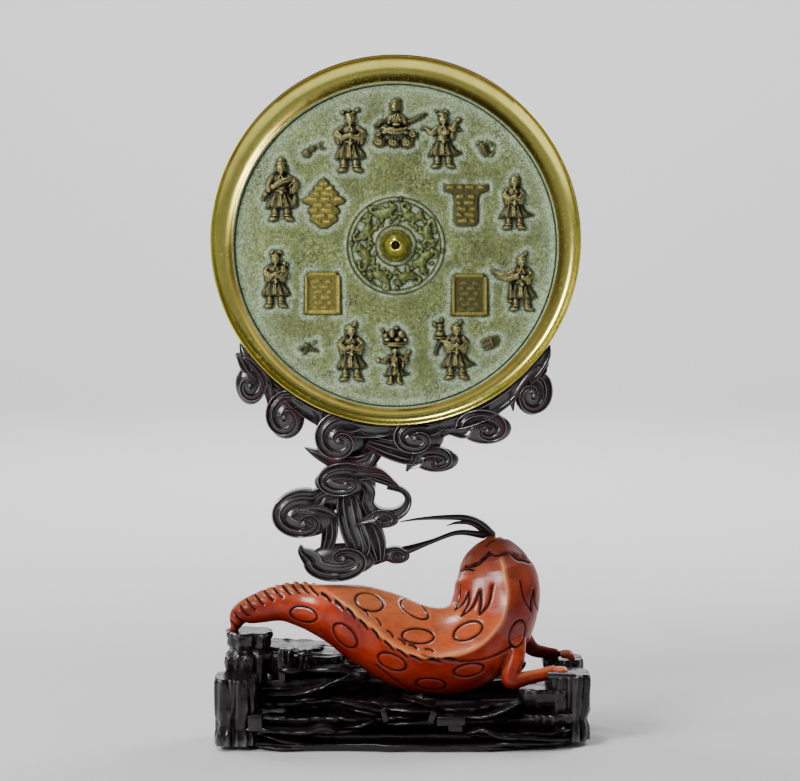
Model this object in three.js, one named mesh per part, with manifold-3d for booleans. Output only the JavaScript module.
// A cast bronze mirror standing in its carved wooden stand. A spotted beast lies on a rock, and
// the breath from its mouth rises as scrolling clouds that carry the mirror.
// Millimetres. The finished group has +Z up and the mirror's decorated side towards -Y. Every piece
// is modelled as seen from the front, with x to the right, y up and z towards the viewer, and one
// turn at the end stands the whole group up.
import * as THREE from 'three';
import { mergeVertices } from 'three/addons/utils/BufferGeometryUtils.js';
import Module from 'manifold-3d';

const wasm = await Module();
wasm.setup();

// Driving dimensions
const MIRROR_RADIUS = 111.3;
const MIRROR_CENTRE = { x: -4, y: 301 };
const LEAN = THREE.MathUtils.degToRad(2); // the mirror leans back in its groove
const RIM_HEIGHT = 9; // from the polished face to the lip
const FIELD_HEIGHT = 3;
const FIELD_RADIUS = 96.5;
const FIELD_DROP = 3; // the cast field sits this far below the middle of the rim
const RING_RADIUS = 29.5;
const RING_BEASTS = 7;
const KNOB_HEIGHT = 15;
const KNOB_RADIUS = 9.6;
const CORD_HOLE_RADIUS = 2.7;
const GROOVE_SEGMENTS = 96; // faces round the groove that the mirror stands in
const CLEARANCE = 0.4; // between pieces that touch
const CLOUD_DEPTH = 24; // thickness of the carved clouds, front to back
const SEAT_LIP = 1.4; // how far the groove's front lip stands over the mirror's edge
const ROCK_WIDTH = 226;
const ROCK_DEPTH = 104;
const ROCK_FOOT = 13; // height of the rock's lowest stratum

// ---- Solids ---------------------------------------------------------------------------------

// A closed three.js geometry as a manifold-3d solid.
function solid(geometry) {
  const bare = geometry.clone();
  bare.deleteAttribute('normal');
  bare.deleteAttribute('uv');
  const merged = mergeVertices(bare, 1e-4);
  const triVerts = new Uint32Array(merged.index.array);
  const vertProperties = new Float32Array(merged.attributes.position.array);
  const make = () => new wasm.Manifold(new wasm.Mesh({ numProp: 3, vertProperties, triVerts }));
  const made = make();
  if (made.volume() > 0) return made;
  for (let i = 0; i < triVerts.length; i += 3) {
    [triVerts[i + 1], triVerts[i + 2]] = [triVerts[i + 2], triVerts[i + 1]];
  }
  return make();
}

const union = (solids) => solids.reduce((whole, next) => whole.add(next));

// A named mesh from a manifold-3d solid.
function mesh(name, made, material) {
  const { vertProperties, triVerts } = made.getMesh();
  const geometry = new THREE.BufferGeometry()
    .setAttribute('position', new THREE.BufferAttribute(new Float32Array(vertProperties), 3))
    .setIndex(new THREE.BufferAttribute(new Uint32Array(triVerts), 1));
  geometry.computeVertexNormals();
  const named = new THREE.Mesh(geometry, material);
  named.name = name;
  return named;
}

// A geometry scaled, turned in the picture plane by `turn` degrees and moved to [x, y, z].
function placed(geometry, [x, y, z], [sx, sy, sz] = [1, 1, 1], turn = 0) {
  const spin = new THREE.Quaternion()
    .setFromAxisAngle(new THREE.Vector3(0, 0, 1), THREE.MathUtils.degToRad(turn));
  const matrix = new THREE.Matrix4()
    .compose(new THREE.Vector3(x, y, z), spin, new THREE.Vector3(sx, sy, sz));
  return solid(geometry.clone().applyMatrix4(matrix));
}

// An ellipsoid with few faces.
const blob = (at, size, turn = 0, sides = 6, rows = 3) =>
  placed(new THREE.SphereGeometry(1, sides, rows), at, size, turn);

// A skin over rings of equal length, closed by a flat cap at each end.
function loft(rings) {
  const sides = rings[0].length;
  const last = (rings.length - 1) * sides;
  const index = [];
  for (let ring = 0; ring < rings.length - 1; ring++) {
    for (let side = 0; side < sides; side++) {
      const a = ring * sides + side;
      const b = ring * sides + ((side + 1) % sides);
      index.push(a, b, b + sides, a, b + sides, a + sides);
    }
  }
  for (let side = 1; side < sides - 1; side++) {
    index.push(0, side + 1, side, last, last + side, last + side + 1);
  }
  const points = rings.flat().flatMap((point) => point.toArray());
  return solid(new THREE.BufferGeometry()
    .setAttribute('position', new THREE.Float32BufferAttribute(points, 3))
    .setIndex(index));
}

// A limb or strand: round rings of the radii given at [x, y, z, radius] stations. Growing it makes
// it thicker and longer by that much all round.
function strand(stations, { steps = 8, sides = 6, grow = 0 } = {}) {
  const path = new THREE.CatmullRomCurve3(stations.map(([x, y, z]) => new THREE.Vector3(x, y, z)));
  const sizes = new THREE.SplineCurve(stations.map((s, i) => new THREE.Vector2(i, s[3])));
  const rings = [];
  for (let step = 0; step <= steps; step++) {
    const centre = path.getPoint(step / steps);
    const tangent = path.getTangent(step / steps);
    const side = new THREE.Vector3(-tangent.y, tangent.x, 0).normalize();
    const front = new THREE.Vector3().crossVectors(tangent, side);
    const radius = sizes.getPoint(step / steps).y + grow;
    centre.addScaledVector(tangent, grow * ((step === steps) - (step === 0)));
    rings.push(Array.from({ length: sides }, (_, i) => {
      const angle = (2 * Math.PI * i) / sides;
      return centre.clone()
        .addScaledVector(side, radius * Math.cos(angle))
        .addScaledVector(front, radius * Math.sin(angle));
    }));
  }
  return loft(rings);
}

// A flat outline raised from z = low to z = high.
function raised(shape, low, high) {
  const geometry = new THREE.ExtrudeGeometry(shape, {
    depth: high - low, bevelEnabled: false, curveSegments: 4,
  });
  return solid(geometry.translate(0, 0, low));
}

const outline = (points) => new THREE.Shape(points.map(([x, y]) => new THREE.Vector2(x, y)));

// ---- The mirror ---------------------------------------------------------------------------

// The disc's section from the axis out: polished back, lip, hollow rim, step and cast field.
const DISC_SECTION = [
  [0, 0], [MIRROR_RADIUS - 0.8, 0], [MIRROR_RADIUS, 1.2], [MIRROR_RADIUS, RIM_HEIGHT - 0.6],
  [MIRROR_RADIUS - 1.2, RIM_HEIGHT], [MIRROR_RADIUS - 4.6, 5.2], [MIRROR_RADIUS - 8.6, 4.1],
  [FIELD_RADIUS + 1.2, 5.6], [FIELD_RADIUS + 0.4, 2.4], [FIELD_RADIUS - 0.9, 3.5],
  [FIELD_RADIUS - 4, FIELD_HEIGHT], [0, FIELD_HEIGHT],
];
const DISC_SEGMENTS = 40;

// Turns a section of [radius, height] pairs about the z axis.
function turned(section, segments) {
  const geometry = new THREE.LatheGeometry(
    section.map(([radius, height]) => new THREE.Vector2(radius, height)), segments);
  return geometry.rotateX(Math.PI / 2);
}

function disc() {
  const geometry = turned(DISC_SECTION, DISC_SEGMENTS);
  const position = geometry.attributes.position;
  for (let i = 0; i < position.count; i++) {
    const radius = Math.hypot(position.getX(i), position.getY(i));
    const inwards = THREE.MathUtils.clamp((MIRROR_RADIUS - 1.2 - radius) / 12.2, 0, 1);
    if (position.getZ(i) > 1.5) position.setY(i, position.getY(i) - FIELD_DROP * inwards);
  }
  return solid(geometry);
}

// A figure in low relief: sections across it at [height, half width, relief] levels from the feet to
// the top of the hat, each with a flat back sunk in the field.
function reliefFigure([x, y], levels, { height, side = 1 }) {
  return loft(levels.map(([level, half, relief, shift = 0]) => [
    [-1, -1], [-0.8, relief * 0.6], [0, relief], [0.8, relief * 0.6], [1, -1],
  ].map(([across, out]) => new THREE.Vector3(
    x + side * (shift + half * across) * height, y + (level - 0.5) * height, FIELD_HEIGHT + out))));
}

// Levels as shares of the figure's height, relief in millimetres.
const STANDING = [
  [0, 0.14, 1.4], [0.09, 0.14, 1.8], [0.11, 0.18, 2], [0.44, 0.1, 2.2], [0.6, 0.18, 2.6],
  [0.7, 0.14, 2.4], [0.75, 0.05, 1.6], [0.79, 0.08, 2.8], [0.9, 0.08, 2.4], [1, 0.02, 0.8],
];
const SEATED = [
  [0, 0.3, 1], [0.07, 0.38, 2.4], [0.2, 0.36, 2.6], [0.34, 0.2, 2.2], [0.5, 0.17, 2.6],
  [0.64, 0.13, 2.2], [0.69, 0.05, 1.8], [0.75, 0.09, 2.8], [0.9, 0.09, 2.6], [1, 0.03, 1],
];

// What an attendant holds: blobs as [x, y, half width, half height, turn] about the figure's middle.
const HELD = {
  tray: [[2, 3.4, 7.4, 1.9, 8], [-6.4, 1.8, 1.7, 4, 20]],
  zither: [[-9, 4.2, 8, 1.5, -5], [5.4, -1.6, 1.7, 4.6, -14]],
  basin: [[0, 13.6, 6.6, 1.6, 0], [-3, 17, 2.4, 2, 0], [3, 17, 2.4, 2, 0], [-8, 2, 1.4, 5.6, 10]],
  vase: [[-9.4, -2, 1.4, 8, 0], [-9.4, 9.6, 2.9, 3.6, 0], [-8.4, -13.6, 2.6, 3.6, 0]],
  ribbon: [[8.4, 6.4, 5, 1.4, 34], [-6, 4, 4.4, 1.3, -20]],
  fan: [[7.4, -7.6, 4.2, 2.2, -20], [-5.4, 1.4, 3.4, 2, 20]],
};

// A standing attendant with what it holds.
function attendant({ x, y, height, side, holds }) {
  const held = HELD[holds].map(([dx, dy, rx, ry, turn]) =>
    blob([x + side * dx, y + dy, FIELD_HEIGHT], [rx, ry, 2.4], side * turn, 5));
  return [reliefFigure([x, y], STANDING, { height, side }), ...held];
}

// The immortal seated on a cloud at the top of the field.
function seatedFigure(x, y) {
  const curls = [-9, -0.6, 8].map((dx) => blob([x + dx, y - 13, FIELD_HEIGHT], [4.8, 3.4, 2.4], 0, 5));
  const ribbons = [[13.6, 2.6, 6.4, 36], [-10, 1, 4.8, 24]].map(([dx, dy, half, turn]) =>
    blob([x + dx, y + dy, FIELD_HEIGHT], [half, 1.6, 1.6], turn, 5));
  return [reliefFigure([x, y], SEATED, { height: 28 }), ...curls, ...ribbons];
}

// The small treasures between the figures: gourd, leaf, knot and scroll.
function treasures() {
  const base = FIELD_HEIGHT;
  const at = (x, y) => [x, y, base];
  return [
    blob(at(-53.2, 55.2), [2.9, 2.8, 2.2]), blob(at(-49.4, 58.6), [2, 2.2, 1.8]),
    blob(at(-45.6, 60.2), [3.8, 1.2, 1.3], -14),
    blob(at(53.4, 57.6), [3.4, 5.6, 1.9], 20),
    blob(at(58, 61.4), [4.4, 1.3, 1.4], -24),
    blob(at(-54.6, -60.8), [5.2, 1.6, 1.7], 24), blob(at(-50.8, -63.4), [5, 1.6, 1.7], -18),
    blob(at(-53, -62.4), [1.7, 4.2, 1.7], -36),
    blob(at(57.6, -58.4), [7, 2.7, 1.9], 20),
  ];
}

// A plaque: a low raised block whose face carries rows of shallow strokes.
function plaque({ x, y, steps, stroke }) {
  const left = steps.map(([half, height]) => [x - half, y + height]);
  const right = [...steps].reverse().map(([half, height]) => [x + half, y + height]);
  const block = raised(outline([...left, ...right]), FIELD_HEIGHT - 1, FIELD_HEIGHT + 1.7);
  const rows = stroke.rows.map((dy) => placed(new THREE.BoxGeometry(2, 2, 2),
    [x, y + dy, FIELD_HEIGHT + 2], [stroke.half, 0.45, 0.8]));
  return block.subtract(union(rows));
}

// Steps are [half width, height] pairs from the top corner down.
function plaques() {
  const tile = [[8.2, 13], [10.6, 10], [11.4, -12.6]];
  return [
    plaque({
      x: -43.2, y: 25.4, stroke: { rows: [5.4, -0.4, -6.2], half: 6 },
      steps: [[1.6, 15], [6.8, 9], [12, 2.4], [9.4, -1.6], [9.8, -6.6], [4, -14.4]],
    }),
    plaque({
      x: 42.4, y: 24.2, stroke: { rows: [1.4, -5], half: 4 },
      steps: [[13.6, 12.6], [13.4, 8.8], [7.4, 7.2], [7.6, -9.8], [5.4, -12.4]],
    }),
    plaque({ x: -44, y: -28.8, stroke: { rows: [6.4, 0, -6.4], half: 6.4 }, steps: tile }),
    plaque({ x: 44.6, y: -29.8, stroke: { rows: [6.4, 0, -6.4], half: 6.4 }, steps: tile }),
  ];
}

// The raised ring round the knob, with the beasts that run round inside it.
function knobRing() {
  const base = FIELD_HEIGHT;
  const band = turned([
    [RING_RADIUS - 3.2, base - 1], [RING_RADIUS, base - 1], [RING_RADIUS, base + 0.9],
    [RING_RADIUS - 1.1, base + 1.5], [RING_RADIUS - 3.2, base + 0.7], [RING_RADIUS - 3.2, base - 1],
  ], 20);
  const beasts = Array.from({ length: RING_BEASTS }, (_, i) => {
    const angle = (i / RING_BEASTS) * 2 * Math.PI + 0.3;
    const radius = 19.4 + 1.6 * Math.cos(3 * angle);
    const at = [radius * Math.cos(angle), radius * Math.sin(angle), base];
    return blob(at, [3, 5.4, 2.2], THREE.MathUtils.radToDeg(angle) + 24, 5);
  });
  return [solid(band), ...beasts];
}

function knob() {
  const base = FIELD_HEIGHT;
  const body = solid(turned([
    [0, base - 1], [KNOB_RADIUS, base - 1], [KNOB_RADIUS, base + 0.6], [KNOB_RADIUS - 1, base + 3.6],
    [5.6, KNOB_HEIGHT - 2.6], [3.9, KNOB_HEIGHT], [0, KNOB_HEIGHT],
  ], 16));
  const hole = new THREE.CylinderGeometry(CORD_HOLE_RADIUS, CORD_HOLE_RADIUS, 16, 10);
  return [body, solid(hole.rotateX(Math.PI / 2).translate(0, 0, KNOB_HEIGHT))];
}

const ATTENDANTS = [
  { x: -27.4, y: 63, height: 38, side: 1, holds: 'tray' },
  { x: 28.2, y: 64, height: 34, side: -1, holds: 'ribbon' },
  { x: -69.6, y: 32.6, height: 38, side: 1, holds: 'tray' },
  { x: 71.8, y: 25.8, height: 35, side: 1, holds: 'fan' },
  { x: -72.2, y: -19.8, height: 36, side: 1, holds: 'tray' },
  { x: 76, y: -21.8, height: 38, side: 1, holds: 'zither' },
  { x: -26.6, y: -63.4, height: 37, side: -1, holds: 'tray' },
  { x: -0.6, y: -66.6, height: 33, side: 1, holds: 'basin' },
  { x: 36, y: -62.8, height: 36, side: 1, holds: 'vase' },
];

function mirror() {
  const [knobBody, cordHole] = knob();
  const relief = [
    ...ATTENDANTS.flatMap(attendant), ...seatedFigure(0, 75), ...treasures(), ...plaques(),
    ...knobRing(), knobBody,
  ];
  const above = placed(new THREE.BoxGeometry(2, 2, 2), [0, 0, 40 + FIELD_HEIGHT - 1], [110, 110, 40]);
  const cast = union(relief).intersect(above).subtract(cordHole).translate(0, -FIELD_DROP, 0);
  return disc().add(cast);
}

// The space that the mirror's edge needs in its groove.
function mirrorEnvelope() {
  const geometry = turned([
    [0, -CLEARANCE], [MIRROR_RADIUS + CLEARANCE, -CLEARANCE],
    [MIRROR_RADIUS + CLEARANCE, RIM_HEIGHT + CLEARANCE], [0, RIM_HEIGHT + CLEARANCE],
  ], GROOVE_SEGMENTS);
  return solid(geometry);
}

// ---- The clouds -----------------------------------------------------------------------------

const SPIRAL = { turns: 1.4, width: 0.24, steps: 7 };

// Outline of a band of outer radius 1 that winds inwards from `start` degrees.
function spiralBand(start, hand) {
  const outer = [];
  const inner = [];
  for (let i = 0; i <= SPIRAL.steps; i++) {
    const share = i / SPIRAL.steps;
    const angle = THREE.MathUtils.degToRad(start) + hand * share * SPIRAL.turns * 2 * Math.PI;
    const reach = 1 - 0.8 * share;
    const band = SPIRAL.width * (1 - 0.45 * share);
    outer.push([reach * Math.cos(angle), reach * Math.sin(angle)]);
    inner.push([(reach - band) * Math.cos(angle), (reach - band) * Math.sin(angle)]);
  }
  return outline([...outer, ...inner.reverse()]);
}

// A cloud scroll: a rounded boss with a spiral band standing proud of its front.
function scroll({ x, y, rx, ry, turn = 0, start, hand, depth = CLOUD_DEPTH }) {
  const boss = placed(turned([[0, -1], [0.7, -1], [1, 0], [0.7, 0.7], [0, 0.7]], 7), [x, y, 0],
    [rx, ry, depth / 2], turn);
  const band = raised(spiralBand(start, hand), 0, 1);
  return boss.add(band.scale([rx, ry, depth / 2]).rotate([0, 0, turn]).translate(x, y, 0));
}

// Scrolls along the crescent under the mirror, then those of the rising column.
const CRADLE_SCROLLS = [
  { x: -91.4, y: 216.4, rx: 10, ry: 14, turn: 10, start: 100, hand: -1, depth: 20 },
  { x: -69.4, y: 195, rx: 12.4, ry: 14, start: 70, hand: 1 },
  { x: -37.4, y: 182, rx: 16, ry: 15.2, start: 60, hand: 1 },
  { x: 11, y: 182, rx: 17.4, ry: 10.2, turn: 4, start: 60, hand: 1 },
  { x: 20, y: 169.6, rx: 14.4, ry: 8.2, turn: 6, start: 210, hand: -1 },
  { x: 49.4, y: 189, rx: 17, ry: 10.2, turn: 14, start: 190, hand: -1 },
  { x: 78, y: 210, rx: 10.8, ry: 13.4, turn: -12, start: 60, hand: -1, depth: 20 },
];
const COLUMN_SCROLLS = [
  { x: -36.6, y: 156.2, rx: 19, ry: 9.4, start: 50, hand: 1 },
  { x: -61, y: 136.2, rx: 20.4, ry: 12.8, turn: 8, start: 66, hand: 1 },
  { x: -9.6, y: 141, rx: 15.6, ry: 12.8, start: 150, hand: -1 },
  { x: -37.4, y: 107.4, rx: 22.6, ry: 12, start: 185, hand: 1 },
  { x: -3, y: 111, rx: 9, ry: 5.8, start: 160, hand: -1, depth: 16 },
];

// A curved bar that follows the mirror's edge between two angles in degrees. Its inner radius is
// fixed, and its outer radius swells by `belly` in the middle.
function edgeBar({ from, to, inner, outer, belly = 0, low, high }) {
  const steps = 10;
  const arc = (reach) => Array.from({ length: steps + 1 }, (_, i) => {
    const angle = THREE.MathUtils.degToRad(from + ((to - from) * i) / steps);
    const radius = MIRROR_RADIUS + reach(Math.sin((Math.PI * i) / steps));
    return [MIRROR_CENTRE.x + radius * Math.cos(angle), MIRROR_CENTRE.y + radius * Math.sin(angle)];
  });
  return raised(outline([...arc(() => inner), ...arc((swell) => outer + belly * swell).reverse()]),
    low, high);
}

// The crescent under the mirror, the low lip in front of its edge and the ledge behind it.
const crescent = () => [
  edgeBar({
    from: 216, to: 320, inner: -SEAT_LIP, outer: 4, belly: 9, low: -CLOUD_DEPTH / 2, high: 4,
  }),
  edgeBar({ from: 218, to: 318, inner: -SEAT_LIP, outer: 2.6, low: 2, high: CLOUD_DEPTH / 2 - 2 }),
  edgeBar({
    from: 222, to: 314, inner: -7, outer: 3, low: -CLOUD_DEPTH / 2, high: -CLOUD_DEPTH / 2 + 7,
  }),
];

// Strands of cloud that tie the scrolls together, as [x, y, z, radius] stations.
const CLOUD_STRANDS = [
  [[-33, 183, -1, 12], [-24, 162, -2, 13], [-26, 140, -2, 15], [-22, 118, -2, 11], [-30, 106, -2, 8]],
  [[-26, 150, 0, 8], [-46, 146, 0, 8], [-58, 140, 0, 7]],
  [[-20, 158, -1, 7], [-6, 152, -1, 6], [0, 142, -1, 5]],
  [[-44, 172, 0, 5], [-58, 176, 0, 2.4]],
  [[-6, 124, 0, 4], [8, 128, 0, 3.2], [26, 130, -3, 2.7], [44, 129, -8, 3], [54, 121, -15, 3.8]],
  [[-24, 108, 0, 7], [2, 112, -2, 5], [20, 119, -6, 3], [34, 124, -9, 2.6], [50, 122, -14, 3]],
];

function clouds(beastSpace) {
  const strands = CLOUD_STRANDS.map((stations) => strand(stations, { steps: 4, sides: 5 }));
  const body = union([
    ...crescent(), ...CRADLE_SCROLLS.map(scroll), ...COLUMN_SCROLLS.map(scroll), ...strands,
  ]);
  const seat = mirrorEnvelope().rotate([-THREE.MathUtils.radToDeg(LEAN), 0, 0])
    .translate(MIRROR_CENTRE.x, MIRROR_CENTRE.y, -RIM_HEIGHT / 2);
  const window = placed(new THREE.CylinderGeometry(1, 1, 2, 40).rotateX(Math.PI / 2),
    [MIRROR_CENTRE.x, MIRROR_CENTRE.y, CLOUD_DEPTH],
    [MIRROR_RADIUS - SEAT_LIP, MIRROR_RADIUS - SEAT_LIP, CLOUD_DEPTH]);
  return body.subtract(seat).subtract(window).subtract(beastSpace);
}

// ---- The beast ------------------------------------------------------------------------------

// Stations from tail to snout: centre, half width across the back, half depth from back to belly,
// and the angle in degrees by which the back turns from facing the viewer to facing up.
const BEAST_STATIONS = [
  { at: [-101.6, 66.6, 2], half: 2.6, depth: 2.6, back: 80 },
  { at: [-97.8, 74.6, 2], half: 6, depth: 6.4, back: 80 },
  { at: [-87.4, 78.4, 1], half: 8, depth: 9, back: 80 },
  { at: [-73, 81.4, 0], half: 9.6, depth: 11, back: 78 },
  { at: [-58.6, 79.6, 0], half: 12, depth: 13.8, back: 70 },
  { at: [-43, 76, 1], half: 17.4, depth: 18, back: 42 },
  { at: [-29.4, 72, 3], half: 22, depth: 19.6, back: 20 },
  { at: [-13, 65, 6], half: 25, depth: 20.6, back: 6 },
  { at: [5, 56.6, 9], half: 26.4, depth: 21.4, back: -2 },
  { at: [23, 53.8, 10], half: 26.4, depth: 21.6, back: 0 },
  { at: [39, 57.4, 9], half: 26.4, depth: 21.6, back: 0 },
  { at: [51, 67.6, 6], half: 26.4, depth: 21, back: -4 },
  { at: [56.6, 82, 3], half: 26.6, depth: 20, back: -10 },
  { at: [57.6, 94, 0], half: 26, depth: 19, back: -12 },
  { at: [56.4, 104, -4], half: 22.6, depth: 17.4, back: -10 },
  { at: [55.4, 111, -9], half: 17.6, depth: 13, back: -8 },
  { at: [54.8, 116, -14], half: 9.6, depth: 7, back: -8 },
];
const BEAST_STEPS = 16;
const BEAST_SIDES = 10;

const beastCurve = (pick) => new THREE.CatmullRomCurve3(BEAST_STATIONS.map(pick));
const BEAST_PATH = beastCurve(({ at }) => new THREE.Vector3(...at));
const BEAST_SIZES = beastCurve(({ half, depth, back }) => new THREE.Vector3(half, depth, back));

// Centre, tangent, side and back directions and sizes at a share of the way from tail to snout.
function beastFrame(share) {
  const tangent = BEAST_PATH.getTangent(share);
  const across = new THREE.Vector3(-tangent.y, tangent.x, 0).normalize();
  const outwards = new THREE.Vector3().crossVectors(tangent, across).normalize();
  const { x: half, y: depth, z: backTurn } = BEAST_SIZES.getPoint(share);
  const roll = THREE.MathUtils.degToRad(backTurn);
  const back = outwards.clone().multiplyScalar(Math.cos(roll)).addScaledVector(across, Math.sin(roll));
  const side = across.clone().multiplyScalar(Math.cos(roll)).addScaledVector(outwards, -Math.sin(roll));
  return { centre: BEAST_PATH.getPoint(share), tangent, side, back, half, depth };
}

// A point on the beast's skin: `angle` degrees round from the back's ridge.
function beastSkin(share, angle, grow = 0) {
  const { centre, side, back, half, depth } = beastFrame(share);
  const turn = THREE.MathUtils.degToRad(angle);
  const ridge = 1 + 0.07 * Math.max(0, Math.cos(turn)) ** 6;
  return centre.clone()
    .addScaledVector(side, (half + grow) * Math.sin(turn))
    .addScaledVector(back, (depth + grow) * ridge * Math.cos(turn));
}

function beastBody(grow) {
  const rings = [];
  for (let step = 0; step <= BEAST_STEPS; step++) {
    const share = step / BEAST_STEPS;
    const end = (step === BEAST_STEPS) - (step === 0);
    const longer = beastFrame(share).tangent.multiplyScalar(grow * end);
    rings.push(Array.from({ length: BEAST_SIDES },
      (_, i) => beastSkin(share, (360 * i) / BEAST_SIDES, grow).add(longer)));
  }
  return loft(rings);
}

// Legs as [x, y, z, radius] stations, from the shoulder or hip to the paw.
const BEAST_LEGS = [
  [[66, 66, 12, 8], [68, 54, 19, 5.4], [66.4, 38, 22, 5.4], [78, 40.4, 21, 4.2], [93, 42.6, 18, 4.4]],
  [[64, 70, -10, 8], [74, 60, -18, 5.4], [78, 50, -22, 5], [88, 48, -22, 4.2], [98, 46.6, -20, 4.2]],
  [[-22, 60, -14, 8], [-29, 51, -23, 6.2], [-39, 44.6, -27, 5], [-51, 42.6, -26, 4.4]],
];

function beastLegs(grow) {
  return BEAST_LEGS.map((stations) => strand(stations, { steps: 7, sides: 5, grow }));
}

// Two bulging eyes, one on each side of the head, and the brow ridge between them.
function beastHead(grow) {
  const size = (radius) => [radius + grow, radius + grow, radius + grow];
  return [
    blob([44, 110, -3], size(4.6), 0, 6, 4), blob([70, 110.8, -3.6], size(4.6), 0, 6, 4),
    blob([56.6, 115, -8.6], [10 + grow, 4 + grow, 6 + grow], 0, 6, 4),
  ];
}

// Saw teeth along the tail's ridge.
function beastTeeth(grow) {
  const count = 9;
  return Array.from({ length: count }, (_, i) => {
    const share = 0.09 + (0.24 * i) / (count - 1);
    const { tangent } = beastFrame(share);
    const turn = THREE.MathUtils.radToDeg(Math.atan2(tangent.y, tangent.x));
    return placed(new THREE.ConeGeometry(1, 2, 4), beastSkin(share, 0).toArray(),
      [2.6 + grow, 2.6 + grow, 2 + grow], turn);
  });
}

// Middles of the oval spots as seen from the front, with the turn of each from the way the body runs.
const BEAST_SPOTS = [
  [-60, 76, 0], [-35, 65, -30], [-19, 85, 0], [-6, 51, 0], [6, 80, 0], [9.6, 66, 10], [16, 38, 6],
  [39.6, 69, 0], [40, 46, 0], [69.6, 67, 10],
];
const SPOT_SIZE = [7.4, 4.7];
const SPOT_SINK = 0.5; // how far a ring's middle line lies under the skin

// Share of the way and angle of the foremost skin point at a place seen from the front.
function skinPlace([x, y]) {
  let best = { miss: Infinity };
  for (let share = 0.05; share < 0.97; share += 0.01) {
    for (let angle = -100; angle <= 100; angle += 4) {
      const point = beastSkin(share, angle);
      const miss = Math.hypot(point.x - x, point.y - y) - 0.1 * point.z;
      if (miss < best.miss) best = { miss, share, angle };
    }
  }
  return best;
}

// Grooves of the oval spots: rings sunk in the skin.
function beastSpots() {
  const ring = new THREE.TorusGeometry(1, 0.13, 3, 7);
  return BEAST_SPOTS.map(([x, y, turn]) => {
    const { share, angle } = skinPlace([x, y]);
    const { tangent } = beastFrame(share);
    const at = beastSkin(share, angle, -SPOT_SINK);
    const beside = beastSkin(share, angle + 4, -SPOT_SINK).sub(at).normalize();
    const normal = new THREE.Vector3().crossVectors(tangent, beside).normalize();
    const along = tangent.clone().applyAxisAngle(normal, THREE.MathUtils.degToRad(turn));
    const basis = new THREE.Matrix4()
      .makeBasis(along, new THREE.Vector3().crossVectors(normal, along), normal)
      .scale(new THREE.Vector3(...SPOT_SIZE, 12))
      .setPosition(at);
    return solid(ring.clone().applyMatrix4(basis));
  });
}

// Everything that stands on the beast's skin, grown by a clearance or not.
const beastForm = (grow) =>
  union([beastBody, beastLegs, beastHead, beastTeeth].flatMap((make) => make(grow)));

const beast = () => beastForm(0).subtract(union(beastSpots()));

// ---- The rock -------------------------------------------------------------------------------

// One stratum of rock: a wavy plan outline, bevelled, from y = low to y = high.
function stratum({ x, z, width, depth, low, high, phase = 0, sides = 8, bevel = 2.4 }) {
  const points = Array.from({ length: sides }, (_, i) => {
    const angle = (2 * Math.PI * i) / sides;
    const square = (value) => Math.sign(value) * Math.abs(value) ** 0.6;
    const wave = 0.95 + 0.05 * Math.sin(3 * angle + phase) + 0.03 * Math.cos(5 * angle - 2 * phase);
    return [(width / 2 - bevel) * square(Math.cos(angle)) * wave,
      (depth / 2 - bevel) * square(Math.sin(angle)) * wave];
  });
  const geometry = new THREE.ExtrudeGeometry(outline(points), {
    depth: high - low - 2 * bevel, bevelThickness: bevel, bevelSize: bevel, bevelSegments: 1,
  });
  return solid(geometry.rotateX(-Math.PI / 2).translate(x, low + bevel, z));
}

// An upright block of rock with flutes down its sides.
function pillar({ x, z, width, depth, low, high, flutes = 5 }) {
  const points = Array.from({ length: 2 * flutes }, (_, i) => {
    const angle = (Math.PI * i) / flutes;
    const reach = i % 2 ? 0.86 : 1;
    return [(width / 2) * reach * Math.cos(angle), (depth / 2) * reach * Math.sin(angle)];
  });
  const geometry = new THREE.ExtrudeGeometry(outline(points), {
    depth: high - low - 1.6, bevelThickness: 1.6, bevelSize: 1.4, bevelSegments: 1, bevelOffset: -1.4,
  });
  return solid(geometry.rotateX(-Math.PI / 2).translate(x, low, z));
}

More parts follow.
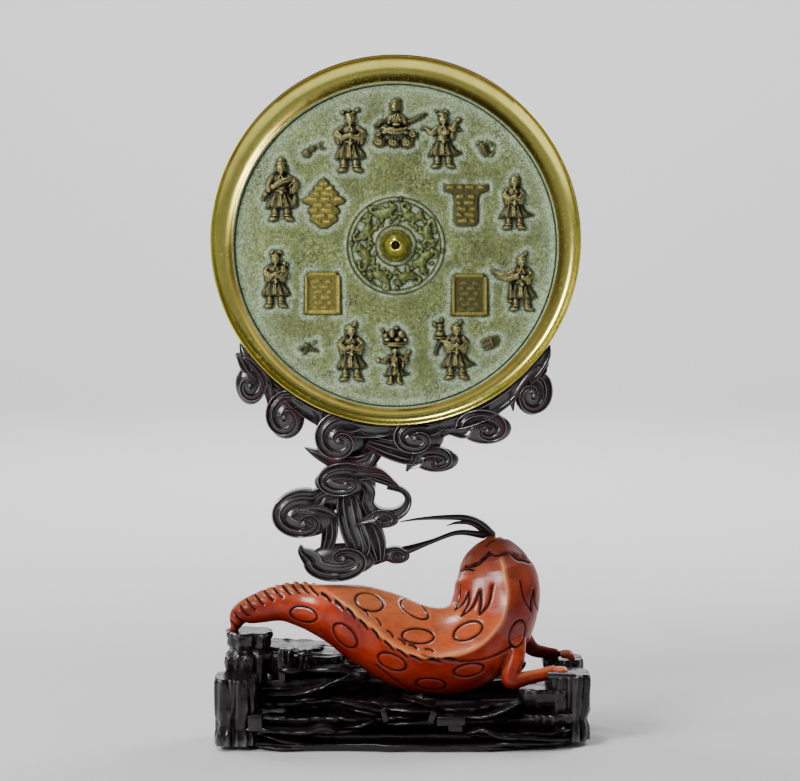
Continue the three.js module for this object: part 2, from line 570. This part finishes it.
const STRATA = [
  { x: 0, z: 0, width: ROCK_WIDTH, depth: ROCK_DEPTH, low: 0, high: ROCK_FOOT, sides: 12 },
  { x: -62, z: 4, width: 86, depth: 88, low: 8, high: 19, phase: 1.3 },
  { x: 64, z: 4, width: 80, depth: 86, low: 7, high: 17, phase: 2.6 },
  { x: 4, z: -4, width: 186, depth: 72, low: 9, high: 27, phase: 4.4 },
  { x: -16, z: 8, width: 62, depth: 74, low: 15, high: 29, phase: 0.7 },
  { x: 42, z: 6, width: 58, depth: 70, low: 13, high: 25, phase: 2.1 },
  { x: -56, z: -6, width: 80, depth: 62, low: 22, high: 36, phase: 5.2 },
  { x: -50, z: -8, width: 66, depth: 50, low: 33, high: 47, phase: 3.4 },
  { x: -66, z: -6, width: 44, depth: 40, low: 44, high: 57, phase: 1.9 },
  { x: 34, z: -30, width: 92, depth: 34, low: 24, high: 43, phase: 1.9 },
  { x: 88, z: 12, width: 40, depth: 52, low: 12, high: 35, phase: 0.4 },
];
const PILLARS = [
  { x: -99.4, z: 30, width: 28, depth: 34, low: 4, high: 43 },
  { x: -94, z: 2, width: 25, depth: 30, low: 20, high: 66 },
  { x: 100, z: 16, width: 25, depth: 36, low: 4, high: 42 },
  { x: 99, z: -24, width: 24, depth: 28, low: 10, high: 45 },
];

function rock(beastSpace) {
  const mass = union([...STRATA.map(stratum), ...PILLARS.map(pillar)]);
  return mass.subtract(beastSpace);
}

// ---- The whole object -------------------------------------------------------------------------

const bronze = new THREE.MeshStandardMaterial({
  name: 'bronze', color: 0x6f6a3a, roughness: 0.45, metalness: 0.9, flatShading: true,
});
const blackwood = new THREE.MeshStandardMaterial({
  name: 'dark_wood', color: 0x1c1210, roughness: 0.3, metalness: 0, flatShading: true,
});
const redwood = new THREE.MeshStandardMaterial({
  name: 'red_wood', color: 0xb23a12, roughness: 0.3, metalness: 0, flatShading: true,
});

const group = new THREE.Group();

const leaning = new THREE.Group();
leaning.position.set(MIRROR_CENTRE.x, MIRROR_CENTRE.y, -RIM_HEIGHT / 2);
leaning.rotation.x = -LEAN;
leaning.add(mesh('mirror', mirror(), bronze));
group.add(leaning);

const beastSpace = beastForm(CLEARANCE);
group.add(mesh('cloud_cradle', clouds(beastSpace), blackwood));
group.add(mesh('beast', beast(), redwood));
group.add(mesh('rock_base', rock(beastSpace), blackwood));

// Stands the group up and puts the origin at the middle of its footprint's bounding box.
group.rotation.x = Math.PI / 2;
group.updateMatrixWorld(true);
const bounds = new THREE.Box3().setFromObject(group);
const middle = bounds.getCenter(new THREE.Vector3());
group.position.set(-middle.x, -middle.y, -bounds.min.z);

export default group;
